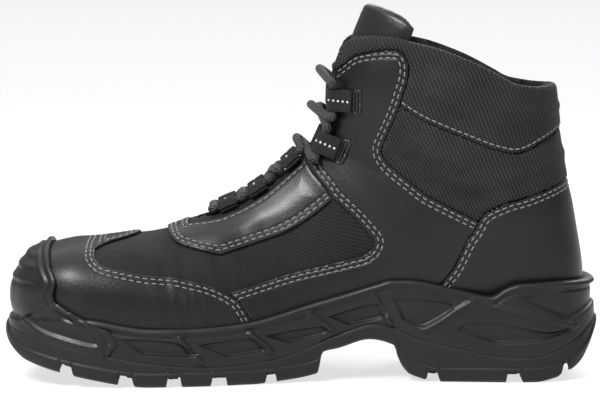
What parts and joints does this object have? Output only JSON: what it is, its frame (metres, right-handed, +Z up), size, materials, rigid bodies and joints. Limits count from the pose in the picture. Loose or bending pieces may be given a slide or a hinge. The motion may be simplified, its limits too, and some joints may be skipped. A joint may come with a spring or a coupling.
{
  "type": "safety boot",
  "caption": "Black mid-cut lace-up safety boot with a moulded toe scuff cap, padded collar and tongue, webbing lace loops, a ribbed midsole and a lugged heeled outsole.",
  "frame": {"origin": "on the ground under the middle of the heel, on the flat of the centre heel lug", "axes": "+X towards the back of the heel, the toe points along -X; +Y towards the outer side of the foot, the inner side faces -Y; +Z up"},
  "size_m": [0.312, 0.1096, 0.1958],
  "materials": {
    "outsole": "matt moulded rubber",
    "midsole": "satin moulded polyurethane",
    "scuff_cap": "satin moulded polyurethane",
    "textile": "fine woven textile",
    "leather": "smooth full grain, semi-gloss",
    "facing_leather": "smooth coated, glossy",
    "padded_textile": "coarse woven textile over foam",
    "tongue": "smooth leather over foam",
    "insole": "felt cover",
    "lace": "braided round lace",
    "webbing": "woven webbing with reflective dots"
  },
  "bodies": {
    "root": {"outsole": "outsole", "midsole": "midsole", "toe_scuff_cap": "scuff_cap", "upper": "textile", "vamp": "leather", "facing": "facing_leather", "quarter": "leather", "heel_counter": "leather", "ankle_pad": "padded_textile", "collar_pad": "padded_textile", "tongue": "tongue", "insole": "insole", "lace_bar_low": "lace", "lace_bar_top": "lace", "lace_crossing_1": "lace", "lace_crossing_2": "lace", "lace_crossing_3": "lace", "lace_crossing_4": "lace", "lace_loop_inner_1": "webbing", "lace_loop_outer_1": "webbing", "lace_loop_inner_2": "webbing", "lace_loop_outer_2": "webbing", "lace_loop_inner_3": "webbing", "lace_loop_outer_3": "webbing", "lace_loop_inner_4": "webbing", "lace_loop_outer_4": "webbing", "lace_loop_inner_5": "webbing", "lace_loop_outer_5": "webbing"}
  },
  "joints": []
}
